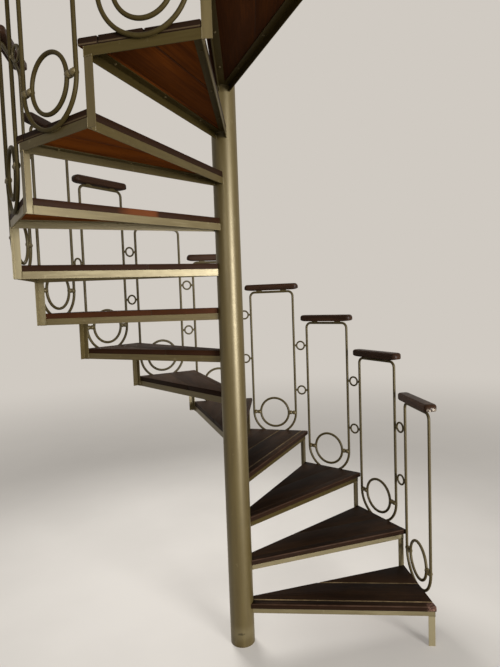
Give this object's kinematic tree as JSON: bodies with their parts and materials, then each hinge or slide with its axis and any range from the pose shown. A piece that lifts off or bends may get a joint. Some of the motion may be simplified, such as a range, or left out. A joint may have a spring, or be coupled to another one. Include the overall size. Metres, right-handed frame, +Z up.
{
  "type": "spiral staircase",
  "caption": "Spiral stair round a steel pole: wooden wedge treads on welded angle frames, with a rail of round-bar hoops, rings and short wooden grips.",
  "frame": {"origin": "centre of the pole's foot, at floor level", "axes": "+Z up along the pole; the first tread's front outer corner lies 8 degrees clockwise of +X seen from above, and the stair turns counter-clockwise as it climbs"},
  "size_m": [1.85, 1.8542, 3.526],
  "materials": {
    "bronze_paint": "brushed-on metallic bronze paint, satin, a little uneven",
    "tread_wood": "dark red-brown stain under satin varnish, worn at the edges",
    "grip_wood": "dark brown stain under satin varnish, smoothed by hands"
  },
  "bodies": {
    "root": {"centre_pole": "bronze_paint", "pole_foot_plate": "bronze_paint", "pole_cap": "bronze_paint", "corner_posts": "bronze_paint", "tread_frame_01": "bronze_paint", "tread_frame_02": "bronze_paint", "tread_frame_03": "bronze_paint", "tread_frame_04": "bronze_paint", "tread_frame_05": "bronze_paint", "tread_frame_06": "bronze_paint", "tread_frame_07": "bronze_paint", "tread_frame_08": "bronze_paint", "tread_frame_09": "bronze_paint", "tread_frame_10": "bronze_paint", "tread_frame_11": "bronze_paint", "tread_frame_12": "bronze_paint", "tread_frame_13": "bronze_paint", "tread_board_01": "tread_wood", "tread_board_02": "tread_wood", "tread_board_03": "tread_wood", "tread_board_04": "tread_wood", "tread_board_05": "tread_wood", "tread_board_06": "tread_wood", "tread_board_07": "tread_wood", "tread_board_08": "tread_wood", "tread_board_09": "tread_wood", "tread_board_10": "tread_wood", "tread_board_11": "tread_wood", "tread_board_12": "tread_wood", "tread_board_13": "tread_wood", "rail_panel_01": "bronze_paint", "rail_panel_02": "bronze_paint", "rail_panel_03": "bronze_paint", "rail_panel_04": "bronze_paint", "rail_panel_05": "bronze_paint", "rail_panel_06": "bronze_paint", "rail_panel_07": "bronze_paint", "rail_panel_08": "bronze_paint", "rail_panel_09": "bronze_paint", "rail_panel_10": "bronze_paint", "rail_panel_11": "bronze_paint", "rail_panel_12": "bronze_paint", "rail_panel_13": "bronze_paint", "link_rings": "bronze_paint", "grips": "grip_wood"}
  },
  "joints": []
}
